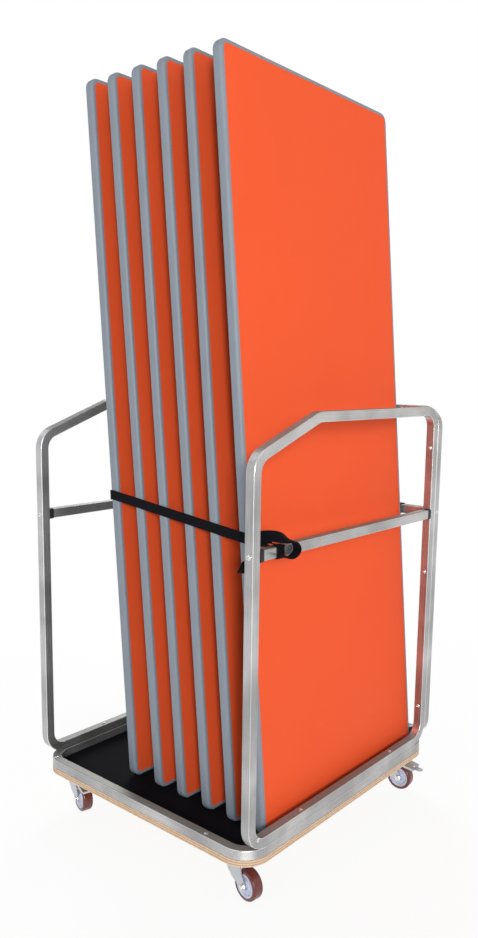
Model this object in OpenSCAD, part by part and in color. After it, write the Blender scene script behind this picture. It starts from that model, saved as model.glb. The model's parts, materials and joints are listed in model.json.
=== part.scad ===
// Banquet table trolley: a plywood deck on four swivel casters, a square-tube ring round the deck,
// two end frames and a back frame of bent square tube, and six folded tables standing on their ends.
// +X runs along the deck, -Y is the loading side, +Z is up, and the origin is on the floor.

/* [Deck] */
// Length of the deck
base_x = 770; // [760:10:900]
// Depth of the deck
base_y = 820; // [810:10:900]
// Thickness of the plywood board
board_t = 15; // [12:1:20]
// Outer corner radius of the board and of the ring
base_corner_r = 70; // [65:5:100]
// Thickness of the rubber mat
mat_t = 3; // [2:0.5:5]

/* [Tube] */
// Side of the square tube
tube = 25; // [22:1:28]
// Wall of the square tube
wall = 1.5; // [1.2:0.1:2]
// Outer corner radius of the tube's section
tube_r = 3; // [2.2:0.2:4]
// Outer radius of the bends in the frames
bend_r = 60; // [50:5:75]

/* [Frames] */
// Height of the three frames above the ring
frame_h = 990; // [940:10:1060]
// Straight length of the sloping tube between its two bends
slope_l = 193.75; // [150:0.25:240]
// Height of the crossbars' top face above the ring
bar_top = 698; // [660:1:740]
// Thickness of the plastic cap at each end of a bar
cap_t = 4.5; // [3:0.5:6]

/* [Casters] */
// Height from the floor to the underside of the board
caster_h = 108; // [106:1:112]
// Wheel diameter
wheel_d = 75; // [72:1:76]
// Width of the wheel's tread
wheel_w = 28; // [24:1:28]
// Distance from the swivel axis to the wheel's axle
trail = 33; // [31:1:35]
// Side of the square top plate
plate_w = 60; // [58:1:64]
// Swivel axis from the deck's end
caster_inset_x = 80; // [78:1:90]
// Swivel axis of the front casters from the deck's front
caster_inset_y = 62; // [60:1:70]
// Swivel axis of the back casters from the deck's back
caster_inset_back = 77; // [60:1:84]

/* [Tables] */
// Length of a folded table
table_l = 1830; // [1500:10:1850]
// Width of a table
table_w = 685; // [660:5:690]
// Thickness of a table top at its edge
table_t = 28; // [24:1:30]
// Width of the grey edge band on the table's face
band_w = 11; // [10:0.5:14]
// Diameter of the folding legs
leg_d = 25; // [20:1:28]

/* [Strap] */
// Width of the webbing
strap_w = 25; // [20:1:30]
// Thickness of the webbing
strap_t = 2; // [1.6:0.2:2.4]

/* [Hidden] */

$fn = 48;
eps = 0.01;

// Gap between pieces that only meet loosely, and the running clearance on a radius
gap = 0.3;
run_gap = 0.08;
// Gap between pieces of one body that are pressed or glued together
seat = 0.1;

// Heights of the deck's layers
board_z = caster_h;
mat_z = board_z + board_t;
deck_z = mat_z + mat_t;
ring_top = mat_z + tube;
bar_z = ring_top + bar_top - tube / 2;

// Middle lines of the tubes at the deck's edges
mid_x = base_x / 2 - tube / 2;
mid_y = base_y / 2 - tube / 2;
rear_y = mid_y - tube;

// Round-headed screws: shank radius, head radius and head height
screw_r = 3;
rear_screw_r = 2.5;
head_r = 6.2;
head_h = 3.4;

// Screws through the posts, above the ring
post_screw_h = [110, 516, frame_h - 116];
// Screws on the bottom rails, from the middle of the deck
rail_screw_y = 205;
// Through bolts in the ring's front member
ring_bolt_x = [243, -337];
// Screws from below through the board into the ring's side members
side_screw_y = [-321, -15, 291];
// Screws from below into the ring's back member
back_screw_x = 243;
// Short screw in the bend at each end frame's front lower corner
corner_screw_deg = 49;

// Swivel casters: name, side along X, side along Y, direction of the trail, and whether it has a brake
casters = [
    ["front_right", 1, -1, -8, false],
    ["front_left", -1, -1, -15, true],
    ["back_right", 1, 1, 5, true],
    ["back_left", -1, 1, -14, false]];

// Distance from the right end frame to each table's bottom edge, and each table's lean
table_inset = [472, 372, 286, 197.5, 113, 17.5];
table_lean = [4.8, 5.3, 5.2, 5.2, 5.1, 5.2];
table_corner_r = 25;
edge_round = 8;
strap_gap = 5;
table_y1 = base_y / 2 - tube - strap_gap;
table_y0 = table_y1 - table_w;
leg_spacing = 510;
leg_len = 700;
leg_end = 190;
rung_low = 30;
rung_high = 90;
bracket_t = 3;

function unit(v) = v / norm(v);
function lowest(l) = (table_t - edge_round) * sin(l) - edge_round * cos(l) + edge_round;
function table_foot(i) = [base_x / 2 - tube - table_inset[i], 0, deck_z + gap + lowest(table_lean[i])];
function on_table(i, p) = table_foot(i) + [
    p[0] * cos(table_lean[i]) - p[2] * sin(table_lean[i]),
    p[1],
    p[0] * sin(table_lean[i]) + p[2] * cos(table_lean[i])];
function lean_up(i) = [-sin(table_lean[i]), 0, cos(table_lean[i])];

// Rounded square of side s and corner radius r
module rounded_square(s, r) {
    square([s, s - 2 * r], center = true);
    square([s - 2 * r, s], center = true);
    for (x = [-1, 1], y = [-1, 1]) translate([x * (s / 2 - r), y * (s / 2 - r)]) circle(r);
}

// Rounded rectangle of a by b with corner radius r
module rounded_rect(a, b, r) {
    square([a, b - 2 * r], center = true);
    square([a - 2 * r, b], center = true);
    for (x = [-1, 1], y = [-1, 1]) translate([x * (a / 2 - r), y * (b / 2 - r)]) circle(r);
}

module tube_section() {
    difference() {
        rounded_square(tube, tube_r);
        rounded_square(tube - 2 * wall, tube_r - wall);
    }
}

// Section swept straight up, then round a bend of centreline radius rc towards +X, step after step.
// Each step is a straight length and the angle of the bend that follows it.
module bent_run(steps, rc, i = 0) {
    if (i < len(steps)) {
        len_i = steps[i][0];
        turn_i = steps[i][1];
        linear_extrude(len_i) children();
        translate([rc, 0, len_i]) {
            rotate([90, 0, 0]) intersection() {
                rotate_extrude() translate([rc, 0]) mirror([1, 0]) children();
                linear_extrude(2 * rc, center = true) mirror([1, 0]) sector(4 * rc, turn_i);
            }
            rotate([0, turn_i, 0]) translate([-rc, 0, 0]) bent_run(steps, rc, i + 1) children();
        }
    }
}

// Sector from the X axis round to angle a, for cutting a bend out of a whole ring
module sector(reach, a) polygon([[0, 0], [reach, 0], 1.5 * reach * [cos(a / 2), sin(a / 2)],
    reach * [cos(a), sin(a)]]);

// Straight lengths of a closed outline: each side between sharp corners, less its two bends
function bend_steps(sides, turns, rc) = [for (i = [0 : len(sides) - 1])
    let (before = turns[(i + len(turns) - 1) % len(turns)], after = turns[i])
    [sides[i] - rc * tan(before / 2) - rc * tan(after / 2), after]];

// Hole for a screw through the walls, along Y, X or Z
module screw_hole(r = screw_r + gap, l = 4 * tube) cylinder(r = r, h = l, center = true);

module along_y() rotate([90, 0, 0]) children();
module along_x() rotate([0, 90, 0]) children();

// Round-headed screw with its seat at the origin, head up and shank down
module screw(l, r = screw_r, hr = head_r, hh = head_h) {
    translate([0, 0, -l]) cylinder(r = r, h = l);
    difference() {
        intersection() {
            cylinder(r = hr, h = hh);
            translate([0, 0, hh - hr * 1.35]) sphere(r = hr * 1.35);
        }
        translate([0, 0, hh - 1.6]) cylinder(r = hr * 0.34, h = 2, $fn = 6);
    }
}

module hex_nut(h = 5, r = 5.8) cylinder(r = r, h = h, $fn = 6);

// Deck

function caster_spot(c) = [c[1] * (base_x / 2 - caster_inset_x),
    c[2] * (base_y / 2 - (c[2] < 0 ? caster_inset_y : caster_inset_back)), 0];
module caster_spots() for (c = casters) translate(caster_spot(c)) children();

bolt_half = plate_w / 2 - 7.5;
module plate_corners() for (x = [-1, 1], y = [-1, 1]) translate([x * bolt_half, y * bolt_half, 0]) children();

module deck_screw_spots_below() {
    for (s = [-1, 1], y = side_screw_y) translate([s * mid_x, y, 0]) children();
    for (s = [-1, 1]) translate([s * back_screw_x, mid_y, 0]) children();
}

module deck_bolt_spots() for (x = ring_bolt_x) translate([x, -mid_y, 0]) children();

module deck_board() color("burlywood") difference() {
    translate([0, 0, board_z]) linear_extrude(board_t) rounded_rect(base_x, base_y, base_corner_r);
    caster_spots() plate_corners() {
        translate([0, 0, board_z]) screw_hole();
        translate([0, 0, mat_z - 3]) cylinder(r1 = screw_r, r2 = 6, h = 3);
    }
    deck_screw_spots_below() translate([0, 0, board_z]) screw_hole();
    deck_bolt_spots() translate([0, 0, board_z]) screw_hole();
}

module deck_mat() color("#1b191d") translate([0, 0, mat_z]) linear_extrude(mat_t)
    rounded_rect(base_x - 2 * tube - 2, base_y - 2 * tube - 2, base_corner_r - tube - 1);

module deck_ring() color("silver") {
    rc = base_corner_r - tube / 2;
    sides = [2 * mid_y, 2 * mid_x, 2 * mid_y, 2 * mid_x];
    difference() {
        translate([-mid_x, -mid_y + rc, mat_z + tube / 2]) rotate([-90, 0, 0])
            bent_run(bend_steps(sides, [90, 90, 90, 90], rc), rc) tube_section();
        deck_screw_spots_below() translate([0, 0, mat_z]) screw_hole(l = tube);
        deck_bolt_spots() translate([0, 0, mat_z]) screw_hole();
        for (s = [-1, 1], y = [-1, 1]) translate([s * mid_x, y * rail_screw_y, ring_top])
            screw_hole(l = tube);
        for (s = [-1, 1]) translate([s * rail_screw_y, mid_y, ring_top]) screw_hole(l = tube);
    }
}

module deck_screws() color("gainsboro") {
    deck_screw_spots_below() translate([0, 0, board_z]) mirror([0, 0, 1]) screw(board_t + 6);
    deck_bolt_spots() {
        translate([0, 0, ring_top]) screw(tube + board_t + 7);
        translate([0, 0, board_z - 5]) difference() {
            hex_nut();
            cylinder(r = screw_r - eps, h = 12, center = true);
        }
    }
}

// Frames

bend_c = bend_r - tube / 2;
frame_mid = frame_h - tube;
frame_depth = mid_y + rear_y;

// The slope rises 44 in 117 along a tube 125 long
slope_rise = 44 / 125;
slope_run = 117 / 125;
slope_deg = atan2(44, 117);
post_l = frame_mid - 2 * bend_c - slope_l * slope_rise;
top_rail_l = frame_depth - 2 * bend_c - slope_l * slope_run;

module end_frame_tube() {
    steps = [[post_l, 90 - slope_deg], [slope_l, slope_deg], [top_rail_l, 90],
        [frame_mid - 2 * bend_c, 90], [frame_depth - 2 * bend_c, 90]];
    translate([0, -mid_y, ring_top + tube / 2 + bend_c]) rotate([0, 0, 90])
        bent_run(steps, bend_c) tube_section();
}

// Places of the screws in one end frame; s is 1 for the right frame and -1 for the left
module post_screw_spots(s) for (h = post_screw_h) translate([s * mid_x, rear_y, ring_top + h]) children();
module bar_screw_spot(s) translate([s * mid_x, -mid_y, bar_z]) children();
module rail_screw_spots(s) for (y = [-1, 1])
    translate([s * mid_x, y * rail_screw_y, ring_top + tube]) children();
module corner_screw_spot(s) translate([s * base_x / 2,
    -mid_y + bend_c - (bend_c - 6.5) * cos(corner_screw_deg),
    ring_top + tube / 2 + bend_c - (bend_c - 6.5) * sin(corner_screw_deg)]) children();
top_screw_y = 195;
module top_screw_spot(s) translate([s * mid_x, top_screw_y, ring_top + frame_h]) children();
rear_bar_screw_z = bar_z - 6.5;
back_rail_screw_z = bar_z + 2.5;

module end_frame(s) color("silver") difference() {
    translate([s * mid_x, 0, 0]) end_frame_tube();
    post_screw_spots(s) along_y() screw_hole();
    bar_screw_spot(s) along_y() screw_hole(l = 2 * tube);
    translate([s * mid_x, rear_y, rear_bar_screw_z]) along_y() screw_hole(r = rear_screw_r + gap, l = 2 * tube);
    rail_screw_spots(s) screw_hole(l = 3 * tube);
    corner_screw_spot(s) along_x() screw_hole(r = rear_screw_r + gap, l = tube);
    top_screw_spot(s) screw_hole(r = rear_screw_r + gap, l = tube);
}

module back_frame() color("silver") difference() {
    translate([-mid_x, mid_y, ring_top + tube / 2 + bend_c])
        bent_run(bend_steps([frame_mid, 2 * mid_x, frame_mid, 2 * mid_x], [90, 90, 90, 90], bend_c), bend_c)
            tube_section();
    for (s = [-1, 1]) {
        post_screw_spots(s) translate([0, tube, 0]) along_y() screw_hole();
        translate([s * mid_x, mid_y, rear_bar_screw_z]) along_y()
            screw_hole(r = rear_screw_r + gap, l = 2 * tube);
        translate([s * mid_x, mid_y, back_rail_screw_z]) along_x()
            screw_hole(r = rear_screw_r + gap, l = 2 * tube);
        translate([s * rail_screw_y, mid_y, ring_top]) screw_hole(l = 4 * tube);
    }
}

// Bars between the posts, with a plastic cap plugged into each end

crossbar_l = mid_y + rear_y - tube - 2 * cap_t;
back_rail_l = 2 * mid_x - tube - 2 * cap_t;
plug_l = 18;

module bar(l) linear_extrude(l, center = true) tube_section();

// Cap with a plate against the post, a short skirt over the bar and a plug inside it
module bar_cap(hole_y, hole_r) difference() {
    union() {
        linear_extrude(cap_t) rounded_square(tube + 3, tube_r + 1.5);
        translate([0, 0, cap_t]) linear_extrude(6) difference() {
            rounded_square(tube + 3, tube_r + 1.5);
            rounded_square(tube + 2 * run_gap, tube_r);
        }
        linear_extrude(cap_t + plug_l) rounded_square(tube - 2 * wall - 2 * run_gap, tube_r - wall);
    }
    translate([0, hole_y, -1]) cylinder(r = hole_r + gap, h = cap_t + plug_l + 2);
}

// The cap at one end of a bar of length l; end is 0 for the near end and 1 for the far end
module bar_end(l, end) mirror([0, 0, end]) translate([0, 0, -l / 2 - cap_t]) children();

module crossbar_caps(s) color("#222226") crossbar_place(s) {
    bar_end(crossbar_l, 0) bar_cap(0, screw_r);
    bar_end(crossbar_l, 1) bar_cap(bar_z - rear_bar_screw_z, rear_screw_r);
}

module back_rail_caps() color("#222226") back_rail_place()
    for (end = [0, 1]) bar_end(back_rail_l, end) bar_cap(back_rail_screw_z - bar_z, rear_screw_r);

module crossbar_place(s) translate([s * mid_x, (rear_y - mid_y) / 2, bar_z]) rotate([-90, 0, 0]) children();
module back_rail_place() translate([0, mid_y, bar_z]) rotate([90, 0, 90]) children();

module frame_screws() color("gainsboro") {
    grip = 2 * tube;
    for (s = [-1, 1]) {
        post_screw_spots(s) translate([0, -tube / 2, 0]) along_y() {
            screw(grip + 4);
            translate([0, 0, -grip - 4.4]) difference() {
                hex_nut(h = 4.4);
                translate([0, 0, 1]) cylinder(r = screw_r - eps, h = 12);
            }
        }
        bar_screw_spot(s) translate([0, -tube / 2, 0]) along_y() screw(tube + cap_t + 12, hr = 6.8, hh = 3.8);
        translate([s * mid_x, mid_y + tube / 2, rear_bar_screw_z]) mirror([0, 1, 0]) along_y()
            screw(2 * tube + cap_t + 10, r = rear_screw_r, hr = 4.8, hh = 2.6);
        rail_screw_spots(s) screw(tube + 10);
        corner_screw_spot(s) rotate([0, s * 90, 0]) screw(10, r = rear_screw_r, hr = 5.4, hh = 2.8);
        top_screw_spot(s) screw(9, r = rear_screw_r, hr = 5, hh = 2.6);
        translate([s * base_x / 2, mid_y, back_rail_screw_z]) rotate([0, s * 90, 0])
            screw(tube + cap_t + 12, r = rear_screw_r, hr = 5.2, hh = 2.8);
        translate([s * rail_screw_y, mid_y, ring_top + tube]) screw(tube + 10);
    }
}

// Casters. Each is drawn with its swivel axis on the Z axis, the floor at zero and its trail along +X.

axle_z = wheel_d / 2;
axle_r = 4;
plate_t = 2.5;
plate_z = caster_h - plate_t;
cup_h = 4.8;
cup_z = plate_z - cup_h;
kingpin_r = 6;
yoke_t = 3;
crown_h = 6;
crown_z = cup_z - gap;
yoke_z = crown_z - crown_h - yoke_t;
yoke_back = 27;
yoke_front = 24;
leg_t = 2.5;
hub_w = wheel_w + 4.4;
fork_in = hub_w / 2 + gap;
fork_out = fork_in + leg_t;
rim_r = wheel_d / 2 - 8.5;
pedal_pin = [16, yoke_z - 6];
pedal_pin_r = 2.5;
pedal_t = 2.2;
arm_gap = 0.4;
arm_in = fork_out + arm_gap;
arm_out = arm_in + pedal_t;

module caster_at(i) {
    c = casters[i];
    translate(caster_spot(c)) rotate([0, 0, c[3]]) children();
}

// The top plate keeps square to the deck, so it turns back by the trail's direction
module caster_plate(i) color("silver") caster_at(i) {
    rotate([0, 0, -casters[i][3]]) translate([0, 0, plate_z]) linear_extrude(plate_t) difference() {
        rounded_square(plate_w, 6);
        plate_corners() circle(screw_r + gap);
    }
    rotate_extrude() polygon([[0, plate_z + eps], [25, plate_z + eps], [25, plate_z - 1.5],
        [21.5, cup_z], [0, cup_z]]);
    translate([0, 0, yoke_z - gap - 1]) cylinder(r = kingpin_r, h = caster_h - yoke_z);
    translate([0, 0, yoke_z - gap - 2.6]) cylinder(r1 = 7, r2 = 9.5, h = 2.6);
}

module fork_leg_outline() {
    polygon([[-yoke_back, yoke_z + yoke_t], [yoke_front, yoke_z + yoke_t], [yoke_front, yoke_z - 12],
        [30, yoke_z - 30], [trail + 10.5, axle_z + 4], [trail, axle_z], [trail - 7.5, axle_z - 7.5],
        [-8, yoke_z - 44], [-22, yoke_z - 30], [-yoke_back, yoke_z - 14]]);
    translate([trail, axle_z]) circle(11);
}

module caster_fork(i) color("silver") caster_at(i) difference() {
    union() {
        translate([0, 0, yoke_z]) rotate_extrude() polygon([[0, 0], [25, 0], [25, yoke_t],
            [24, yoke_t + 2.5], [20, yoke_t + crown_h], [0, yoke_t + crown_h]]);
        translate([-yoke_back, -fork_out, yoke_z]) cube([yoke_back + yoke_front, 2 * fork_out, yoke_t]);
        for (s = [0, 1]) mirror([0, s, 0]) translate([0, fork_out, 0]) along_y()
            linear_extrude(leg_t) fork_leg_outline();
    }
    translate([0, 0, yoke_z - 1]) cylinder(r = kingpin_r + run_gap, h = 20);
    translate([trail, 0, axle_z]) along_y() cylinder(r = axle_r + run_gap, h = 4 * fork_out, center = true);
    if (casters[i][4]) translate([pedal_pin[0], 0, pedal_pin[1]]) along_y()
        cylinder(r = pedal_pin_r + run_gap, h = 4 * fork_out, center = true);
}

// Axle bolt with its head and nut outside the fork, and the brake pedal's pin where there is a brake
module caster_axle(i) color("gainsboro") caster_at(i) {
    translate([trail, 0, axle_z]) along_y() {
        cylinder(r = axle_r, h = 2 * fork_out + 12, center = true);
        for (s = [0, 1]) mirror([0, 0, s]) translate([0, 0, fork_out]) {
            cylinder(r = 8.2, h = 1.4);
            hex_nut(h = 5.4, r = 7);
        }
    }
    if (casters[i][4]) translate([pedal_pin[0], 0, pedal_pin[1]]) along_y() {
        cylinder(r = pedal_pin_r, h = 2 * arm_out + 2, center = true);
        for (s = [0, 1]) mirror([0, 0, s]) translate([0, 0, arm_out + arm_gap])
            cylinder(r1 = 4.4, r2 = 3.2, h = 1.8);
    }
}

module caster_core(i) color("#c8ccd6") caster_at(i) translate([trail, 0, axle_z]) along_y()
    rotate_extrude() difference() {
        union() {
            translate([0, -wheel_w / 2 + 0.8]) square([rim_r - seat, wheel_w - 1.6]);
            translate([0, -hub_w / 2]) square([9.5, hub_w]);
        }
        for (s = [0, 1]) mirror([0, s, 0]) polygon([[11.5, wheel_w / 2], [13, wheel_w / 2 - 4.6],
            [21, wheel_w / 2 - 4.6], [24.5, wheel_w / 2]]);
        translate([-1, -hub_w]) square([1 + axle_r + run_gap, 2 * hub_w]);
    }

tread_round = 5;
module caster_tread(i) color("#78302b") caster_at(i) translate([trail, 0, axle_z]) along_y()
    rotate_extrude($fn = 96) difference() {
        union() {
            translate([rim_r, -wheel_w / 2]) square([wheel_d / 2 - rim_r - tread_round, wheel_w]);
            translate([rim_r, -wheel_w / 2 + tread_round])
                square([wheel_d / 2 - rim_r, wheel_w - 2 * tread_round]);
            for (s = [-1, 1]) translate([wheel_d / 2 - tread_round, s * (wheel_w / 2 - tread_round)])
                circle(tread_round);
        }
    }

// Brake pedal: a channel over the wheel whose arms run back outside the fork to the pin. It has a
// pad over the tread and a turned-down lip, and the one at the back has a tab to step on.
pedal_fall = 10.7;
pedal_l = 68;
pedal_from = 15.5;
pedal_top = 5.75;
lip_low = -0.4;
arm_r = 4.4;
pad_t = 1.4;
tab_w = 20;
tab_l = 13.4;

module pedal_arm_outline() {
    circle(arm_r);
    polygon([[0, -3.6], [14, -3.6], [30, -1.8], [pedal_l, lip_low], [pedal_l, pedal_top],
        [3.5, pedal_top], [0, 3.9]]);
}

module pedal_tab() linear_extrude(pedal_t) {
    translate([0, -tab_w / 2]) square([tab_l, tab_w]);
    translate([tab_l, 0]) circle(tab_w / 2);
}

module brake_pedal(i, has_tab) color("silver") caster_at(i)
    translate([pedal_pin[0], 0, pedal_pin[1]]) rotate([0, pedal_fall, 0]) difference() {
        union() {
            for (s = [0, 1]) mirror([0, s, 0]) translate([0, arm_out, 0]) along_y()
                linear_extrude(pedal_t) pedal_arm_outline();
            translate([pedal_from, -arm_out, pedal_top - pedal_t])
                cube([pedal_l - pedal_from, 2 * arm_out, pedal_t]);
            translate([pedal_l - pedal_t, -arm_out, lip_low])
                cube([pedal_t, 2 * arm_out, pedal_top - lip_low]);
            translate([31, -9, pedal_top - pedal_t - pad_t]) cube([10, 18, pedal_t]);
            if (has_tab) translate([pedal_l - pedal_t + 0.5, 0, lip_low])
                rotate([0, -pedal_fall, 0]) pedal_tab();
        }
        along_y() cylinder(r = pedal_pin_r + run_gap, h = 4 * fork_out, center = true);
        translate([59, -4.5, 0]) cube([3.5, 9, 2 * pedal_top]);
    }

// Countersunk bolts through the board, with nuts under the top plates
module caster_bolts() color("gainsboro") caster_spots() plate_corners() {
    translate([0, 0, mat_z - 3]) cylinder(r1 = screw_r, r2 = 6, h = 3);
    translate([0, 0, plate_z - 7]) cylinder(r = screw_r, h = board_t + plate_t + 7 - 3 + eps);
    translate([0, 0, plate_z - 5]) hex_nut();
}

// Tables. Each is drawn with its top face on the YZ plane and its legs on the -X side.

module table_place(i) translate(table_foot(i)) rotate([0, -table_lean[i], 0])
    translate([0, (table_y0 + table_y1) / 2, 0]) children();

module table_top(i) color("#f36034") table_place(i) translate([-gap, 0, table_l / 2]) rotate([0, -90, 0])
    linear_extrude(table_t - 2 * gap)
        rounded_rect(table_l - 2 * band_w - 2 * seat, table_w - 2 * band_w - 2 * seat,
            table_corner_r - band_w - seat);

// Edge band with a rounded outer side, run round the top's outline
module table_edge(i) color("#8c99a5") table_place(i) {
    rc = table_corner_r - band_w / 2;
    sides = [table_l - band_w, table_w - band_w, table_l - band_w, table_w - band_w];
    translate([-table_t / 2, -table_w / 2 + band_w / 2, table_corner_r]) rotate([0, 0, 90])
        bent_run(bend_steps(sides, [90, 90, 90, 90], rc), rc) edge_section();
}

module edge_section() intersection() {
    translate([-band_w / 2, -table_t / 2]) square([band_w, table_t]);
    union() {
        translate([-band_w / 2 + edge_round, -table_t / 2]) square([band_w, table_t]);
        translate([-band_w / 2, -table_t / 2 + edge_round]) square([band_w, table_t - 2 * edge_round]);
        for (s = [-1, 1]) translate([-band_w / 2 + edge_round, s * (table_t / 2 - edge_round)])
            circle(edge_round);
    }
}

// Round tube with plugged ends
module closed_tube(r, l) difference() {
    cylinder(r = r, h = l);
    translate([0, 0, 4]) cylinder(r = r - wall, h = l - 8);
}

// Two folded leg frames: straight tubes beside each other, held by brackets at the ends of the top
module table_legs(i) color("dimgray") table_place(i) translate([-table_t, 0, 0])
    for (m = [0, 1]) translate([0, 0, m * table_l]) mirror([0, 0, m]) {
        for (s = [-1, 1]) translate([0, s * leg_spacing / 2, leg_end]) {
            translate([-bracket_t - gap - leg_d / 2, 0, 0]) closed_tube(leg_d / 2, leg_len);
            translate([-bracket_t, -20, -10]) cube([bracket_t, 40, 70]);
        }
        for (z = [leg_end + rung_low, leg_end + leg_len - rung_high])
            translate([-bracket_t - gap - leg_d / 2, (leg_spacing - leg_d) / 2 - gap, z]) along_y()
                closed_tube(leg_d / 2 - 3, leg_spacing - leg_d - 2 * gap);
    }

// Strap. A flat ribbon through stations, each a point and the direction of the webbing's width.

function spline(a, b, c, d, t) = 0.5 * ((2 * b) + (c - a) * t + (2 * a - 5 * b + 4 * c - d) * t * t
    + (3 * b - a - 3 * c + d) * t * t * t);
function smooth(p, n) = let (m = len(p) - 1)
    [for (i = [0 : m - 1], k = [0 : n - 1])
        spline(p[max(i - 1, 0)], p[i], p[i + 1], p[min(i + 2, m)], k / n), p[m]];
function part3(s, k) = [s[k], s[k + 1], s[k + 2]];
function tangent(p, i) = unit(part3(p[min(i + 1, len(p) - 1)], 0) - part3(p[max(i - 1, 0)], 0));
function square_to(v, t) = unit(v - (v * t) * t);

module ribbon(p, w = strap_w) {
    n = len(p);
    pts = [for (i = [0 : n - 1])
        let (t = tangent(p, i), u = square_to(part3(p[i], 3), t), v = cross(t, u), h = p[i][6] * w / 2)
        for (q = [[-1, -1], [1, -1], [1, 1], [-1, 1]]) part3(p[i], 0) + q[0] * h * u + q[1] * strap_t / 2 * v];
    sides = [for (i = [0 : n - 2], k = [0 : 3])
        let (a = 4 * i + k, b = 4 * i + (k + 1) % 4) each [[a, b, b + 4], [a, b + 4, a + 4]]];
    polyhedron(pts, concat([[3, 2, 1, 0]], sides, [[4 * n - 4, 4 * n - 3, 4 * n - 2, 4 * n - 1]]));
}

// The run behind the tables, round the first table and across the fronts of all six
back_x = 260;
back_strap_y = table_y1 + strap_gap - gap - strap_t * 1.5;
front_strap_y = table_y0 - gap - strap_t / 2;
leg_face = -table_t - bracket_t - leg_d - 2 * gap - strap_t / 2;
leg_y = (table_y0 + table_y1) / 2;
strap_up = 772;
knot = [mid_x, -318, bar_z];
wrap = tube / 2 + gap + strap_t / 2;
knot_lead = 110;

function first_table(p) = concat(on_table(0, p), lean_up(0), [1]);
band_path = concat(
    [[back_x + strap_w / 2, back_strap_y, bar_z, 0, 0, 1, 1],
     [back_x - strap_w / 2, back_strap_y, bar_z, 0, 0, 1, 1]],
    [for (p = [
        [-14, back_strap_y, strap_up - 44],
        [-27, back_strap_y - 1, strap_up - 43],
        [leg_face, leg_y + leg_spacing / 2 + 4, strap_up - 36],
        [leg_face, leg_y - leg_spacing / 2 - 4, strap_up - 6],
        [-27, front_strap_y, strap_up],
        [-14, front_strap_y, strap_up - 1]]) first_table(p)],
    [[knot[0] - knot_lead, front_strap_y, bar_z + 13, 0, 0, 1, 1]]);

// Once round the crossbar, up into a bight beside the post, and down into a curl in front of the bar,
// measured from the middle of the wrap
loop_points = [
    [-82, 11.7, 11, 0, 0, 1, 1], [-56, 9, 11.5, 0, -0.3, 1, 1], [-32, 3, 11.5, 0, -1, 0.6, 1],
    [-wrap - 1.6, 0, 4, 0, -1, 0, 1], [-wrap - 0.2, 0, -11.2, 0, -1, 0, 1], [-11.2, 0, -wrap, 0, -1, 0, 1],
    [11.2, 0, -wrap, 0, -1, 0, 1], [wrap, 0, -11.2, 0, -1, 0, 1], [wrap, 0, 11.2, 0, -1, 0, 1],
    [9, 0, wrap + 0.4, 0, -1, 0, 1], [-8, -8, 18, 0, -0.9, 0.4, 1], [-17, -27, 28, 0, -0.3, 1, 1],
    [-5, -44, 38, 0, 0, 1, 1], [11, -31, 40, 0, 0, 1, 1], [20, -11, 35, -0.4, 0, 1, 1],
    [25, 10, 28, -0.8, 0, 0.6, 0.97], [25.3, 28, 22, -1, 0, 0.1, 0.97], [25.3, 40, 12, -1, 0, 0, 0.97],
    [25.3, 44, 2, -1, 0, 0, 0.97], [25.3, 38, -8, -1, 0, 0, 0.97], [25.3, 24, -13.5, -1, 0, 0, 0.97],
    [26.4, 10, -13.5, -1, 0, 0, 0.89], [26.4, -4, -8, -1, 0, 0, 0.89], [26.4, -11, -3, -1, 0, 0, 0.89]];
// The cut end, hanging behind the front post
end_points = [
    [-16.6, -17.6, -2, 0, 0.1, 1, 1], [-20, -44, -13, 0, 0.3, 1, 1], [-28, -62, -26, 0, 0.4, 1, 1],
    [-32, -71, -32, 0, 0.4, 1, 1], [-33, -89, -38, 0, 0.4, 1, 0.1]];

function at_knot(list) = [for (s = list) concat(knot + part3(s, 0), part3(s, 3), [s[6]])];

module strap_band() color("#1a181c") ribbon(concat(band_path, smooth(at_knot(loop_points), 6)));
module strap_end() color("#1a181c") ribbon(smooth(at_knot(end_points), 5));
module strap_anchor() color("#1a181c") translate([back_x, mid_y, bar_z]) along_x()
    linear_extrude(strap_w, center = true) difference() {
        rounded_square(tube + 2 * gap + 2 * strap_t, tube_r + gap + strap_t);
        rounded_square(tube + 2 * gap, tube_r + gap);
    }

deck_board();
deck_mat();
deck_ring();
end_frame(1);  // end_frame_right
end_frame(-1);  // end_frame_left
back_frame();
color("silver") crossbar_place(1) bar(crossbar_l);  // crossbar_right
color("silver") crossbar_place(-1) bar(crossbar_l);  // crossbar_left
color("silver") back_rail_place() bar(back_rail_l);  // back_rail
crossbar_caps(1);  // bar_caps_right
crossbar_caps(-1);  // bar_caps_left
back_rail_caps();
deck_screws();
frame_screws();
caster_bolts();
strap_anchor();
strap_band();
strap_end();
for (i = [0 : 3]) {
    c = str("caster_", casters[i][0]);
    caster_plate(i);
    caster_fork(i);
    caster_axle(i);
    caster_core(i);
    caster_tread(i);
}
brake_pedal(1, false);  // brake_pedal_front_left
brake_pedal(2, true);  // brake_pedal_back_right
for (i = [0 : 5]) {
    t = str("table_", i + 1);
    table_top(i);
    table_edge(i);
    table_legs(i);
}
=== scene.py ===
import json
import math

import bmesh
import bpy
from mathutils import Matrix, Vector


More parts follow.
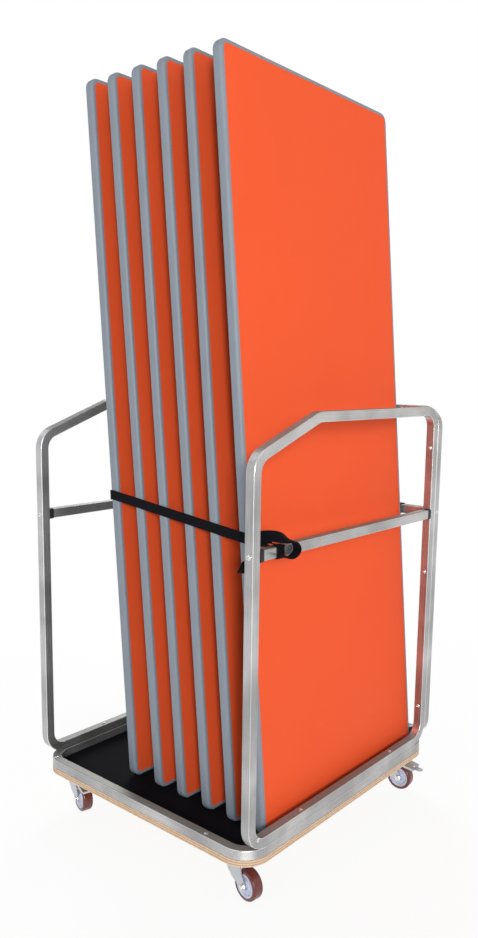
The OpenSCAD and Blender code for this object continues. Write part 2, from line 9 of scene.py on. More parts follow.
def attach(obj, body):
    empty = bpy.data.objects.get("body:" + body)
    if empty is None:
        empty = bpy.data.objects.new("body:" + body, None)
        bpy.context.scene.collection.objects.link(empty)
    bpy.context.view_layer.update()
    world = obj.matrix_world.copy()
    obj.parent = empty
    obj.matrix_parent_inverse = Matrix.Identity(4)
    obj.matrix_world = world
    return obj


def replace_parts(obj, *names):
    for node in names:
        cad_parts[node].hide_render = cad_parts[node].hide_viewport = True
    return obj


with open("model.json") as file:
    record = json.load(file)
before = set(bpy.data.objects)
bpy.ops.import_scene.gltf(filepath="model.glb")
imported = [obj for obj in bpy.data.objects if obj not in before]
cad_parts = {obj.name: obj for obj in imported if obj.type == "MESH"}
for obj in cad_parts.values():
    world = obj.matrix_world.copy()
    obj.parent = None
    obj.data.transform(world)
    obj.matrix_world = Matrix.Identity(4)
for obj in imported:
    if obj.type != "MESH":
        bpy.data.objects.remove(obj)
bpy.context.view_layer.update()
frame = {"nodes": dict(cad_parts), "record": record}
bpy.context.scene.view_settings.view_transform = "Standard"
print("frame loaded")


# Node helpers

def feed(tree, socket, value):
    # a socket takes another node's output, or a plain value
    if isinstance(value, bpy.types.NodeSocket):
        tree.links.new(value, socket)
    elif isinstance(value, (tuple, list)) and len(socket.default_value) == len(value) + 1:
        socket.default_value = (*value, 1)      # a colour without its alpha
    else:
        socket.default_value = value


def addNode(tree, kind, **values):
    node = tree.nodes.new(kind)
    for name, value in values.items():
        if name in node.inputs:
            node.inputs[name].default_value = value
        else:
            setattr(node, name, value)
    return node


def maths(tree, operation, *values, clamp=False):
    node = addNode(tree, "ShaderNodeMath", operation=operation, use_clamp=clamp)
    for socket, value in zip(node.inputs, values):
        feed(tree, socket, value)
    return node.outputs[0]


def xyz(tree, vector):
    node = tree.nodes.new("ShaderNodeSeparateXYZ")
    tree.links.new(vector, node.inputs[0])
    return node.outputs


def facing(tree):
    return xyz(tree, tree.nodes.new("ShaderNodeNewGeometry").outputs["Normal"])


def mixColours(tree, share, a, b, blend="MIX"):
    node = addNode(tree, "ShaderNodeMix", data_type="RGBA", blend_type=blend)
    for i, value in ((0, share), (6, a), (7, b)):
        feed(tree, node.inputs[i], value)
    return node.outputs[2]


def mixValues(tree, share, a, b):
    node = addNode(tree, "ShaderNodeMix", data_type="FLOAT")
    for i, value in ((0, share), (2, a), (3, b)):
        feed(tree, node.inputs[i], value)
    return node.outputs[0]


def within(tree, value, low, high):
    above, below = maths(tree, "GREATER_THAN", value, low), maths(tree, "LESS_THAN", value, high)
    return maths(tree, "MULTIPLY", above, below)


def eased(tree, value, low, high, lowTo=0.0, highTo=1.0):
    node = addNode(tree, "ShaderNodeMapRange", interpolation_type="SMOOTHSTEP")
    tree.links.new(value, node.inputs["Value"])
    for name, level in zip(("From Min", "From Max", "To Min", "To Max"), (low, high, lowTo, highTo)):
        node.inputs[name].default_value = level
    return node.outputs[0]


def ramp(tree, source, stops):
    node = tree.nodes.new("ShaderNodeValToRGB")
    points = node.color_ramp.elements
    while len(points) < len(stops):
        points.new(0.5)
    for point, (place, colour) in zip(points, stops):
        point.position = place
        point.color = (*colour, 1)
    tree.links.new(source, node.inputs["Fac"])
    return node.outputs["Color"]


def noiseOn(tree, where, scale, detail=3, rough=0.5, stretch=(1, 1, 1)):
    place = tree.nodes.new("ShaderNodeMapping")
    place.inputs["Scale"].default_value = stretch
    tree.links.new(where, place.inputs["Vector"])
    noise = addNode(tree, "ShaderNodeTexNoise", Scale=scale, Detail=detail, Roughness=rough)
    tree.links.new(place.outputs[0], noise.inputs["Vector"])
    return noise.outputs["Fac"]


# Camera and studio

camera = {
    "place": (1.4855, -1.6909, 1.2260),   # metres, in the trolley's own frame
    "turn": 128.65,                       # direction of view, degrees from +X
    "tip": -8.235,                        # degrees, downwards
    "roll": 1.166,
    "focal": 817.0,                       # pixels of the picture below
    "middle": (282.55, 489.95),           # where the axis meets the picture
    "size": (478, 938),
    "sensor": 36,
    "clip": (0.05, 200),
}

studio = {
    "floor": {
        "radius": 40,
        "grey": 0.93,
        "rough": 0.9,
        "gloss": 0.1,
        "glow": 0.90,             # share that shows plain white near the trolley
        "reach": (1.0, 4.0),      # metres from the middle, between which that share grows to all of it
    },
    "world": 0.84,                # light from all round
    "warm": (1.0, 0.95, 0.88),    # towards +X
    "cool": (0.94, 0.97, 1.0),    # towards -X
    # darker with height
    "overhead": [(0.0, (1, 1, 1)), (0.3, (0.86, 0.86, 0.86)), (0.75, (0.5, 0.5, 0.5))],
    "front": (0.66, -0.75, 0),    # side of the room that is darker
    "frontDim": [(0.3, (1, 1, 1)), (0.75, (0.42, 0.41, 0.4))],
    "lamps": {                    # name: place, aims at, width, watts
        "frontLamp": ((5.3, -5.0, 2.4), (0.0, 0.0, 0.8), 1.7, 335),
        "keyLamp": ((-0.6, -3.6, 3.4), (0.0, 0.0, 0.9), 2.6, 25),
        "sideLamp": ((4.0, 0.6, 2.6), (0.0, 0.0, 0.8), 2.4, 20),
        "backLamp": ((-2.8, 2.8, 3.0), (0.0, 0.0, 1.0), 2.4, 120),
    },
}


def setCamera(c):
    turn, tip, roll = (math.radians(c[k]) for k in ("turn", "tip", "roll"))
    ahead = Vector((math.cos(tip) * math.cos(turn), math.cos(tip) * math.sin(turn), math.sin(tip)))
    right = Vector((math.sin(turn), -math.cos(turn), 0))
    up = right.cross(ahead)
    rightRolled = math.cos(roll) * right + math.sin(roll) * up
    upRolled = math.cos(roll) * up - math.sin(roll) * right
    data = bpy.data.cameras.new("photoCamera")
    longSide = max(c["size"])
    data.sensor_width = c["sensor"]
    data.lens = c["sensor"] * c["focal"] / longSide
    data.shift_x = (c["size"][0] / 2 - c["middle"][0]) / longSide
    data.shift_y = (c["middle"][1] - c["size"][1] / 2) / longSide
    data.clip_start, data.clip_end = c["clip"]
    eye = bpy.data.objects.new("photoCamera", data)
    facingOut = Matrix((rightRolled, upRolled, -ahead)).transposed().to_4x4()
    eye.matrix_world = Matrix.Translation(c["place"]) @ facingOut
    bpy.context.scene.collection.objects.link(eye)
    bpy.context.scene.camera = eye


def seenRay(tree):
    # 1 for what the camera sees, also in metal or through glass
    path = tree.nodes.new("ShaderNodeLightPath")
    seen = maths(tree, "MAXIMUM", path.outputs["Is Camera Ray"], path.outputs["Is Glossy Ray"])
    return maths(tree, "MAXIMUM", seen, path.outputs["Is Transmission Ray"])


def setWorld(s):
    world = bpy.data.worlds.new("studioWorld")
    world.use_nodes = True
    bpy.context.scene.world = world
    tree = world.node_tree
    tree.nodes.clear()
    around = tree.nodes.new("ShaderNodeTexCoord").outputs["Generated"]
    x, _, z = xyz(tree, around)
    colour = mixColours(tree, maths(tree, "MULTIPLY_ADD", x, 0.5, 0.5, clamp=True), s["cool"], s["warm"])
    ahead = addNode(tree, "ShaderNodeVectorMath", operation="DOT_PRODUCT")
    tree.links.new(around, ahead.inputs[0])
    ahead.inputs[1].default_value = s["front"]
    for source, stops in ((z, s["overhead"]), (ahead.outputs["Value"], s["frontDim"])):
        colour = mixColours(tree, 1, colour, ramp(tree, source, stops), "MULTIPLY")
    byEye = tree.nodes.new("ShaderNodeLightPath").outputs["Is Camera Ray"]
    back = tree.nodes.new("ShaderNodeBackground")
    feed(tree, back.inputs["Color"], mixColours(tree, byEye, colour, (1, 1, 1)))
    feed(tree, back.inputs["Strength"], mixValues(tree, seenRay(tree), s["world"], 1))
    out = tree.nodes.new("ShaderNodeOutputWorld")
    tree.links.new(back.outputs[0], out.inputs["Surface"])


def setFloor(f):
    bm = bmesh.new()
    bmesh.ops.create_circle(bm, cap_ends=True, segments=48, radius=f["radius"])
    mesh = bpy.data.meshes.new("floor")
    bm.to_mesh(mesh)
    bm.free()
    floor = bpy.data.objects.new("floor", mesh)
    bpy.context.scene.collection.objects.link(floor)
    material = bpy.data.materials.new("studioFloor")
    material.use_nodes = True
    tree = material.node_tree
    shader = tree.nodes["Principled BSDF"]
    feed(tree, shader.inputs["Base Color"], (f["grey"],) * 3)
    shader.inputs["Roughness"].default_value = f["rough"]
    shader.inputs["Specular IOR Level"].default_value = f["gloss"]
    glow = addNode(tree, "ShaderNodeEmission", Strength=1)
    far = addNode(tree, "ShaderNodeVectorMath", operation="LENGTH")
    tree.links.new(tree.nodes.new("ShaderNodeTexCoord").outputs["Object"], far.inputs[0])
    share = eased(tree, far.outputs["Value"], *f["reach"], f["glow"], 1)
    mix = tree.nodes.new("ShaderNodeMixShader")
    tree.links.new(maths(tree, "MULTIPLY", seenRay(tree), share), mix.inputs[0])
    tree.links.new(shader.outputs[0], mix.inputs[1])
    tree.links.new(glow.outputs[0], mix.inputs[2])
    tree.links.new(mix.outputs[0], tree.nodes["Material Output"].inputs["Surface"])
    mesh.materials.append(material)


def setLamps(lamps):
    for name, (place, aim, width, watts) in lamps.items():
        data = bpy.data.lights.new(name, "AREA")
        data.shape = "DISK"
        data.size = width
        data.energy = watts
        lamp = bpy.data.objects.new(name, data)
        lamp.location = place
        lamp.rotation_euler = (Vector(aim) - Vector(place)).to_track_quat("-Z", "Y").to_euler()
        bpy.context.scene.collection.objects.link(lamp)


setCamera(camera)
setWorld(studio)
setFloor(studio["floor"])
setLamps(studio["lamps"])
print("camera and studio set")


# Materials
# scales are per metre, depths and places in metres, and "spread" is how far the roughness wanders

finish = {
    "zinc_tube": {
        "colour": (0.46, 0.46, 0.462), "tone": (0.86, 1.12), "rough": 0.30, "spread": 0.24, "metal": 0.8,
        "streak": 420, "stretch": 0.012, "streakShare": 0.6, "blotch": 20, "depth": 0.00001,
        "cloud": 7, "cloudTone": (0.74, 1.14),                 # slow change of brightness along a member
        "corner": (0.92, 0.75), "cornerPaintedHighlight": 0.7,            # painted highlight along the rolled corners
        "dust": (0.17, 0.17, 0.15), "upFrom": (0.8, 0.97),     # a darker, duller grey on faces that point up
        "upCover": 0.8, "upMetal": -0.6, "upRough": 0.2,
        # where the members lie: the ends' x, the posts' z, the crossbars' z and y, and the slope's y
        "ends": 0.358, "rails": (0.2, 1.09), "bars": (0.818, 0.849), "posts": (-0.385, 0.36),
        "slope": (-0.365, -0.24), "slopeFrom": 1.0, "slopeTurn": 20.6,
    },
    "caster_zinc": {"colour": (0.55, 0.57, 0.60), "rough": 0.38, "blotch": 60, "scratch": 900},
    "screw_zinc": {"colour": (0.74, 0.74, 0.74), "rough": 0.24, "blotch": 140, "scratch": 1400},
    "leg_metal": {"colour": (0.16, 0.16, 0.17), "rough": 0.42, "blotch": 60, "scratch": 500},
    "plywood": {
        "light": (0.72, 0.53, 0.37), "dark": (0.47, 0.31, 0.19), "rough": 0.55,
        "plies": 5, "low": 0.108, "thick": 0.015,              # "low" is the board's underside
        "wander": 30, "drift": 0.05,
        "grain": 60, "fibre": 420, "wear": 0.5, "worn": (0.72, 0.7, 0.68), "depth": 0.0002,
    },
    "mat": {"colour": (0.0035, 0.003, 0.0045), "tone": (0.8, 1.9), "rough": 0.9, "spread": 0.2,
            "gloss": 0.08, "dust": 9, "grain": 900, "depth": 0.00012},
    "laminate": {"colour": (0.79, 0.094, 0.026), "tone": (0.985, 1.015), "rough": 0.55, "spread": 0.1,
                 "gloss": 0.12, "cloud": 4, "pebble": 1500, "depth": 0.00004,
                 "under": (0.115, 0.11, 0.11), "underTone": (0.75, 1.4), "fibre": 160},
    "edge_band": {"colour": (0.206, 0.237, 0.280), "tone": (0.93, 1.07), "rough": 0.46, "spread": 0.2,
                  "gloss": 0.4, "scuff": 26, "fine": 1100, "depth": 0.00005},
    "webbing": {"colour": (0.0026, 0.0025, 0.0042), "tone": (0.5, 2.2), "rough": 0.8, "gloss": 0.06,
                "sheen": 0.02, "rib": 0.0012, "zigRibs": 3, "depth": 0.00025},
    "wheel_core": {"colour": (0.52, 0.57, 0.72), "rough": 0.4},
    "tread": {"colour": (0.125, 0.019, 0.014), "rough": 0.3, "more": {
        "Coat Weight": 0.25, "Coat Roughness": 0.15, "Subsurface Weight": 0.12,
        "Subsurface Radius": (1.0, 0.25, 0.15), "Subsurface Scale": 0.003}},
    "cap_black": {"colour": (0.008, 0.008, 0.010), "rough": 0.6},
}
platedAll = {"tone": (0.94, 1.05), "spread": 0.16, "depth": 0.00001}
mouldedAll = {"tone": (0.9, 1.1), "spread": 0.16, "mottle": 120, "fine": 1600, "depth": 0.00006}


def startMaterial(name, sockets):
    material = bpy.data.materials.new(name)
    material.use_nodes = True
    tree = material.node_tree
    shader = tree.nodes["Principled BSDF"]
    for socket, value in sockets.items():
        shader.inputs[socket].default_value = value
    return material, tree, shader, tree.nodes.new("ShaderNodeTexCoord").outputs["Object"]


def tinted(tree, source, tone, colour):
    # the colour between a darker and a lighter share of itself
    low, high = tone
    return ramp(tree, source, [(0.3, [c * low for c in colour]), (0.7, [min(1, c * high) for c in colour])])


def roughened(tree, shader, noise, v):
    feed(tree, shader.inputs["Roughness"],
         maths(tree, "MULTIPLY_ADD", noise, v["spread"], v["rough"] - v["spread"] / 2))


def bumped(tree, shader, height, depth):
    bump = addNode(tree, "ShaderNodeBump", Distance=depth)
    tree.links.new(height, bump.inputs["Height"])
    tree.links.new(bump.outputs[0], shader.inputs["Normal"])


def metalFinish(slot):
    v = {**platedAll, **finish[slot]}
    material, tree, shader, where = startMaterial(slot, {"Metallic": 1})
    blotch = noiseOn(tree, where, v["blotch"], 4, 0.6)
    scratch = noiseOn(tree, where, v["scratch"], 2, 0.6)
    feed(tree, shader.inputs["Base Color"], tinted(tree, blotch, v["tone"], v["colour"]))
    roughened(tree, shader, blotch, v)
    bumped(tree, shader, maths(tree, "MULTIPLY_ADD", blotch, 2, scratch), v["depth"])
    return material


def tubeStreak(tree, where, v):
    # drawing marks run along each member: along X between the ends, and at the ends along Z in the posts,
    # along the slope in the sloped corner, and else along Y
    x, y, z = xyz(tree, where)
    along = [noiseOn(tree, where, v["streak"], 2, 0.5, [v["stretch"] if i == k else 1 for i in range(3)])
             for k in range(3)]
    inBar = maths(tree, "MULTIPLY", within(tree, z, *v["bars"]), within(tree, y, *v["posts"]))
    inPost = maths(tree, "SUBTRACT", within(tree, z, *v["rails"]), inBar, clamp=True)
    atEnd = maths(tree, "GREATER_THAN", maths(tree, "ABSOLUTE", x), v["ends"])
    streak = mixValues(tree, atEnd, along[0], mixValues(tree, inPost, along[1], along[2]))
    turned = addNode(tree, "ShaderNodeVectorRotate", rotation_type="X_AXIS")
    tree.links.new(where, turned.inputs["Vector"])
    turned.inputs["Angle"].default_value = -math.radians(v["slopeTurn"])
    alongSlope = noiseOn(tree, turned.outputs[0], v["streak"], 2, 0.5, (1, v["stretch"], 1))
    isHigh = maths(tree, "GREATER_THAN", z, v["slopeFrom"])
    inSlope = maths(tree, "MULTIPLY", within(tree, y, *v["slope"]), isHigh)
    return mixValues(tree, inSlope, streak, alongSlope)


def tubeFinish(slot):
    v = finish[slot]
    material, tree, shader, where = startMaterial(slot, {})
    streak = tubeStreak(tree, where, v)
    blotch = noiseOn(tree, where, v["blotch"], 4, 0.6)
    mark = maths(tree, "ADD", maths(tree, "MULTIPLY", streak, v["streakShare"]),
                 maths(tree, "MULTIPLY", blotch, 1 - v["streakShare"]))
    # unevenly bright along a member, a painted highlight along the rolled corners, and a darker, duller
    # grey on faces that point up
    normal = facing(tree)
    side = [maths(tree, "ABSOLUTE", normal[i]) for i in range(3)]
    flat = maths(tree, "MAXIMUM", maths(tree, "MAXIMUM", side[0], side[1]), side[2])
    cloud = eased(tree, noiseOn(tree, where, v["cloud"], 2, 0.5), 0.3, 0.7, *v["cloudTone"])
    cloudAndPaintedHighlight = maths(tree, "MULTIPLY_ADD", eased(tree, flat, *v["corner"]), v["cornerPaintedHighlight"], cloud)
    colourWithPaintedHighlight = addNode(tree, "ShaderNodeVectorMath", operation="SCALE")
    tree.links.new(tinted(tree, mark, v["tone"], v["colour"]), colourWithPaintedHighlight.inputs[0])
    tree.links.new(cloudAndPaintedHighlight, colourWithPaintedHighlight.inputs["Scale"])
    facingUp = eased(tree, normal[2], *v["upFrom"])
    upShare = maths(tree, "MULTIPLY", facingUp, v["upCover"])
    feed(tree, shader.inputs["Base Color"], mixColours(tree, upShare, colourWithPaintedHighlight.outputs[0], v["dust"]))
    feed(tree, shader.inputs["Metallic"], maths(tree, "MULTIPLY_ADD", facingUp, v["upMetal"], v["metal"]))
    rough = maths(tree, "MULTIPLY_ADD", streak, v["spread"], v["rough"] - v["spread"] / 2)
    feed(tree, shader.inputs["Roughness"], maths(tree, "MULTIPLY_ADD", facingUp, v["upRough"], rough))
    bumped(tree, shader, streak, v["depth"])
    return material


def plywoodFinish(slot):
    v = finish[slot]
    light, dark = v["light"], v["dark"]
    material, tree, shader, where = startMaterial(slot, {"Roughness": v["rough"]})
    level = maths(tree, "DIVIDE", maths(tree, "SUBTRACT", xyz(tree, where)[2], v["low"]), v["thick"])
    wander = maths(tree, "SUBTRACT", noiseOn(tree, where, v["wander"], 2), 0.5)
    level = maths(tree, "MULTIPLY_ADD", wander, v["drift"], level)
    ply = maths(tree, "FRACT", maths(tree, "MULTIPLY", level, v["plies"] / 2))
    edge = ramp(tree, ply, [(0.0, light), (0.44, light), (0.5, dark), (0.94, dark), (1.0, light)])
    grain = noiseOn(tree, where, v["grain"], 5, 0.65, (0.12, 1, 1))
    face = ramp(tree, grain, [(0.3, dark), (0.45, light), (0.7, [c * 1.08 for c in light])])
    fibres = noiseOn(tree, where, v["fibre"], 3, 0.6, (0.2, 1, 0.2))
    onFace = maths(tree, "GREATER_THAN", maths(tree, "ABSOLUTE", facing(tree)[2]), 0.7)
    worn = ramp(tree, fibres, [(0.35, v["worn"]), (0.6, (1, 1, 1))])
    colour = mixColours(tree, v["wear"], mixColours(tree, onFace, edge, face), worn, "MULTIPLY")
    feed(tree, shader.inputs["Base Color"], colour)
    bumped(tree, shader, fibres, v["depth"])
    return material


def matFinish(slot):
    v = finish[slot]
    material, tree, shader, where = startMaterial(slot, {"Specular IOR Level": v["gloss"]})
    dust = noiseOn(tree, where, v["dust"], 5, 0.65)
    feed(tree, shader.inputs["Base Color"], tinted(tree, dust, v["tone"], v["colour"]))
    roughened(tree, shader, dust, v)
    bumped(tree, shader, noiseOn(tree, where, v["grain"], 2), v["depth"])
    return material


def laminateFinish(slot):
    v = finish[slot]
    material, tree, shader, where = startMaterial(slot, {"Specular IOR Level": v["gloss"]})
    cloud = noiseOn(tree, where, v["cloud"], 3)
    fibre = noiseOn(tree, where, v["fibre"], 5, 0.7, (1, 1, 0.15))
    under = maths(tree, "LESS_THAN", facing(tree)[0], -0.5)     # the tables' undersides face -X; their dark grey is painted shade between the stacked tables
    colour = mixColours(tree, under, tinted(tree, cloud, v["tone"], v["colour"]),
                        tinted(tree, fibre, v["underTone"], v["under"]))
    feed(tree, shader.inputs["Base Color"], colour)
    roughened(tree, shader, cloud, v)
    bumped(tree, shader, noiseOn(tree, where, v["pebble"], 2), v["depth"])
    return material


def edgeFinish(slot):
    v = finish[slot]
    material, tree, shader, where = startMaterial(slot, {"Specular IOR Level": v["gloss"]})
    scuff = noiseOn(tree, where, v["scuff"], 5, 0.7, (1, 1, 0.25))
    feed(tree, shader.inputs["Base Color"], tinted(tree, scuff, v["tone"], v["colour"]))
    roughened(tree, shader, scuff, v)
    bumped(tree, shader, maths(tree, "ADD", noiseOn(tree, where, v["fine"], 2), scuff), v["depth"])
    return material


def plasticFinish(slot):
    v = {**mouldedAll, **finish[slot]}
    material, tree, shader, where = startMaterial(slot, v.get("more", {}))
    mottle = noiseOn(tree, where, v["mottle"], 4, 0.6)
    feed(tree, shader.inputs["Base Color"], tinted(tree, mottle, v["tone"], v["colour"]))
    roughened(tree, shader, mottle, v)
    bumped(tree, shader, noiseOn(tree, where, v["fine"], 2), v["depth"])
    return material


def webbingFinish(slot):
    v = finish[slot]
    material, tree, shader, _ = startMaterial(slot, {
        "Roughness": v["rough"], "Specular IOR Level": v["gloss"], "Sheen Weight": v["sheen"]})
    # u runs across the webbing and v along it, both in metres
    across, along, _ = xyz(tree, addNode(tree, "ShaderNodeUVMap", uv_map="run").outputs[0])
    turn = 2 * math.pi / v["rib"]
    # ribs that lean one way and then the other, as in a chevron weave
    zig = maths(tree, "PINGPONG", across, v["rib"] * v["zigRibs"])
    rib = maths(tree, "SINE", maths(tree, "MULTIPLY", maths(tree, "ADD", along, zig), turn))
    warp = maths(tree, "SINE", maths(tree, "MULTIPLY", across, turn * 1.5))
    height = maths(tree, "MULTIPLY_ADD", warp, 0.2, maths(tree, "MULTIPLY_ADD", rib, 0.35, 0.5))
    # darker in the weave's hollows and lighter on its ribs: painted shade and painted highlight
    low, high = ([c * share for c in v["colour"]] for share in v["tone"])
    feed(tree, shader.inputs["Base Color"], ramp(tree, height, [(0.2, low), (0.85, high)]))
    bumped(tree, shader, height, v["depth"])
    return material


makers = {
    "zinc_tube": tubeFinish,
    "caster_zinc": metalFinish,
    "screw_zinc": metalFinish,
    "leg_metal": metalFinish,
    "plywood": plywoodFinish,
    "mat": matFinish,
    "laminate": laminateFinish,
    "edge_band": edgeFinish,
    "webbing": webbingFinish,
    "wheel_core": plasticFinish,
    "tread": plasticFinish,
    "cap_black": plasticFinish,
}
materials = {slot: maker(slot) for slot, maker in makers.items()}
for part in frame["record"]["subparts"]:
    node = frame["nodes"][part["node"]]
    if not node.material_slots:
        node.data.materials.append(None)
    for holder in node.material_slots:
        holder.material = materials[part["material_slot"]]
print("materials made")


def addPiece(name, bm, material):
    mesh = bpy.data.meshes.new(name)
    bm.to_mesh(mesh)
    bm.free()
    for face in mesh.polygons:
        face.use_smooth = True
    mesh.materials.append(material)
    piece = bpy.data.objects.new(name, mesh)
    bpy.context.scene.collection.objects.link(piece)
    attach(piece, "trolley")
    return piece


# Strap

strap = {
    "width": 0.025,
    "thick": 0.002,
    "edge": 0.0006,                    # roundness of the selvedge
    "smooth": 8,                       # steps between two points of the curled part
    "lean": 4.8,                       # degrees, the first table's lean
    "foot": (-0.112, 0.128),           # x and z of the first table's foot
    "knot": (0.3725, -0.318, 0.8335),
    "anchor": (0.260, 0.3975, 0.8335),
    "loop": (0.0138, 0.0043),          # half the loop's side and its corners' radius, at mid thickness
    "loopGap": 0.0006,                 # between the loop's two ends
    "cornerSteps": 4,
}


def tableStation(x, y, z):
    # a place on the first table, from its foot, with the webbing's width along the table's length
    lean = math.radians(strap["lean"])
    c, s = math.cos(lean), math.sin(lean)
    return (strap["foot"][0] + x * c - z * s, y, strap["foot"][1] + x * s + z * c, -s, 0, c, 1)


def atKnot(points):
    return [(*(k + p / 1000 for k, p in zip(strap["knot"], point[:3])), *point[3:]) for point in points]


# each station is a point, the direction of the webbing's width and its share of the full width;
# the points of the knot are in mm from its middle
bandRun = [
    (0.2725, 0.3817, 0.8335, 0, 0, 1, 1), (0.2475, 0.3817, 0.8335, 0, 0, 1, 1),
    tableStation(-0.014, 0.3817, 0.728), tableStation(-0.027, 0.3807, 0.729),
    tableStation(-0.0576, 0.2965, 0.736), tableStation(-0.0576, -0.2215, 0.766),
    tableStation(-0.027, -0.3063, 0.772), tableStation(-0.014, -0.3063, 0.771),
    (0.2625, -0.3063, 0.8465, 0, 0, 1, 1),
]
knotRun = atKnot([
    (-82, 11.7, 11, 0, 0, 1, 1), (-56, 9, 11.5, 0, -0.3, 1, 1), (-32, 3, 11.5, 0, -1, 0.6, 1),
    (-15.4, 0, 4, 0, -1, 0, 1), (-14, 0, -11.2, 0, -1, 0, 1), (-11.2, 0, -13.8, 0, -1, 0, 1),
    (11.2, 0, -13.8, 0, -1, 0, 1), (13.8, 0, -11.2, 0, -1, 0, 1), (13.8, 0, 11.2, 0, -1, 0, 1),
    (9, 0, 14.2, 0, -1, 0, 1), (-8, -8, 18, 0, -0.9, 0.4, 1), (-17, -27, 28, 0, -0.3, 1, 1),
    (-5, -44, 38, 0, 0, 1, 1), (11, -31, 40, 0, 0, 1, 1), (20, -11, 35, -0.4, 0, 1, 1),
    (25, 10, 28, -0.8, 0, 0.6, 0.97), (25.3, 28, 22, -1, 0, 0.1, 0.97), (25.3, 40, 12, -1, 0, 0, 0.97),
    (25.3, 44, 2, -1, 0, 0, 0.97), (25.3, 38, -8, -1, 0, 0, 0.97), (25.3, 24, -13.5, -1, 0, 0, 0.97),
    (26.4, 10, -13.5, -1, 0, 0, 0.89), (26.4, -4, -8, -1, 0, 0, 0.89), (26.4, -11, -3, -1, 0, 0, 0.89)])
endRun = atKnot([
    (-16.6, -17.6, -2, 0, 0.1, 1, 1), (-20, -44, -13, 0, 0.3, 1, 1), (-28, -62, -26, 0, 0.4, 1, 1),
    (-32, -71, -32, 0, 0.4, 1, 1), (-33, -89, -38, 0, 0.4, 1, 0.1)])


def loopRun():
    half, r = strap["loop"]
    steps = strap["cornerSteps"]
    flat = [(-half, r - half + strap["loopGap"])]
    for k, (y, z) in enumerate(((-1, 1), (1, 1), (1, -1), (-1, -1))):
        for step in range(steps + 1):
            a = math.pi - (k + step / steps) * math.pi / 2
            flat.append((y * (half - r) + r * math.cos(a), z * (half - r) + r * math.sin(a)))
    x, y0, z0 = strap["anchor"]
    return [(x, y0 + y, z0 + z, 1, 0, 0, 1) for y, z in flat]


def smoothRun(stations, steps):
    done = []
    last = len(stations) - 1
    for i in range(last):
        a, b, c, d = (stations[min(max(k, 0), last)] for k in (i - 1, i, i + 1, i + 2))
        for k in range(steps):
            t = k / steps
            done.append(tuple(0.5 * (2 * q + (r - p) * t + (2 * p - 5 * q + 4 * r - s) * t * t
                                     + (3 * q - p - 3 * r + s) * t ** 3) for p, q, r, s in zip(a, b, c, d)))
    return done + [stations[last]]


def stationMatrix(stations, i):
    ahead = Vector(stations[min(i + 1, len(stations) - 1)][:3]) - Vector(stations[max(i - 1, 0)][:3])
    ahead.normalize()
    across = Vector(stations[i][3:6])
    across = (across - across.dot(ahead) * ahead).normalized()
    turn = Matrix((across, ahead.cross(across), ahead)).transposed().to_4x4()
    return Matrix.Translation(stations[i][:3]) @ turn @ Matrix.Diagonal((stations[i][6], 1, 1, 1))


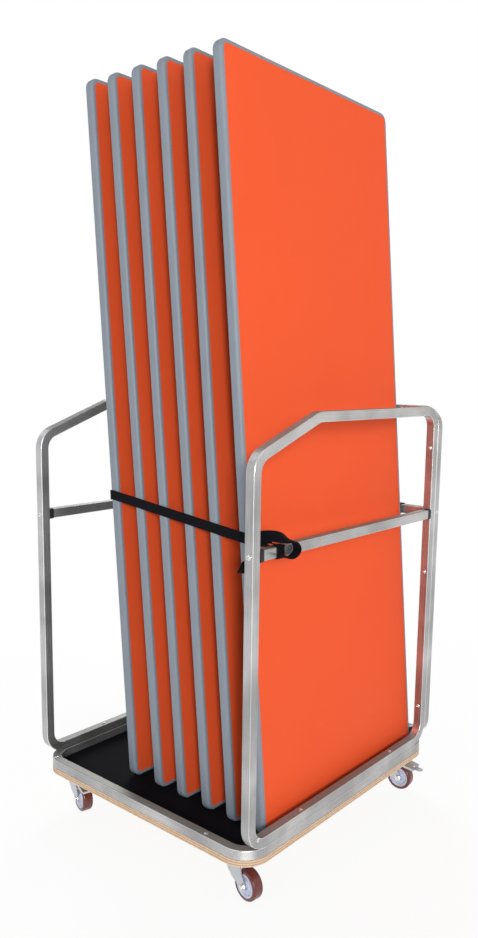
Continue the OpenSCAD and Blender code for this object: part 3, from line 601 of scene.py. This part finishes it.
def webbingPiece(name, stations, replaced):
    bm = bmesh.new()
    half, thick, edge = strap["width"] / 2, strap["thick"] / 2, strap["edge"]
    flat = [edge - half, -half / 2, 0, half / 2, half - edge]
    outline = [(-half, edge - thick), *((x, -thick) for x in flat), (half, edge - thick),
               (half, thick - edge), *((x, thick) for x in reversed(flat)), (-half, thick - edge)]
    corners = [bm.verts.new((x, y, 0)) for x, y in outline]
    ring = [bm.edges.new((corners[i], corners[i - 1])) for i in range(len(corners))]
    acrossAt = {v: v.co.x for v in corners}
    alongAt = {v: 0.0 for v in corners}
    matrices = [stationMatrix(stations, i) for i in range(len(stations))]
    bmesh.ops.transform(bm, matrix=matrices[0], verts=corners)
    startRing, run = list(ring), 0.0
    for before, after in zip(matrices, matrices[1:]):
        run += (after.translation - before.translation).length
        made = bmesh.ops.extrude_edge_only(bm, edges=ring)["geom"]
        ring = [g for g in made if isinstance(g, bmesh.types.BMEdge)]
        fresh = [g for g in made if isinstance(g, bmesh.types.BMVert)]
        for vert in fresh:
            others = (e.other_vert(vert) for e in vert.link_edges if e not in ring)
            acrossAt[vert], alongAt[vert] = next(acrossAt[o] for o in others if o in acrossAt), run
        bmesh.ops.transform(bm, matrix=after @ before.inverted(), verts=fresh)
    bmesh.ops.holes_fill(bm, edges=startRing + ring, sides=len(outline))
    bmesh.ops.recalc_face_normals(bm, faces=bm.faces)
    uv = bm.loops.layers.uv.new("run")
    for face in bm.faces:
        for corner in face.loops:
            corner[uv].uv = (acrossAt[corner.vert], alongAt[corner.vert])
    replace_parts(addPiece(name, bm, materials["webbing"]), replaced)


webbingPiece("strapBandWoven", bandRun + smoothRun(knotRun, strap["smooth"]), "strap_band")
webbingPiece("strapEndWoven", smoothRun(endRun, strap["smooth"]), "strap_end")
webbingPiece("strapLoopWoven", loopRun(), "strap_anchor")
print("strap woven")


# Sewn square, where the strap's loop closes

patch = {
    "half": 0.009,                  # half the square's side
    "pitch": 0.0036,
    "stitch": (0.0013, 0.0004),     # half length and half thickness of one stitch
    "colour": (0.05, 0.05, 0.055),
    "tone": (0.6, 1.5),
    "rough": 0.7,
    "ply": 2600,
    "depth": 0.0001,
}


def threadFinish():
    material, tree, shader, where = startMaterial("thread", {"Roughness": patch["rough"]})
    ply = noiseOn(tree, where, patch["ply"], 2, 0.6)
    feed(tree, shader.inputs["Base Color"], tinted(tree, ply, patch["tone"], patch["colour"]))
    bumped(tree, shader, ply, patch["depth"])
    return material


def sewnPatch():
    bm = bmesh.new()
    half = patch["half"]
    long, thin = patch["stitch"]
    x0, _, z0 = strap["anchor"]
    y = bandRun[0][1] - strap["thick"] / 2
    count = round(2 * half / patch["pitch"])
    for i in range(count):
        at = -half + (i + 0.5) * 2 * half / count
        sides = [(at, half, 0), (at, -half, 0), (half, at, 90), (-half, at, 90)]
        diagonals = [(at, at, -45), (at, -at, 45)]
        for dx, dz, turn in sides + diagonals:
            place = Matrix.Translation((x0 + dx, y, z0 + dz)) @ Matrix.Rotation(math.radians(turn), 4, "Y")
            bmesh.ops.create_uvsphere(bm, u_segments=8, v_segments=6, radius=1,
                                      matrix=place @ Matrix.Diagonal((long, thin, thin, 1)))
    addPiece("sewnPatch", bm, threadFinish())


sewnPatch()
print("patch sewn")
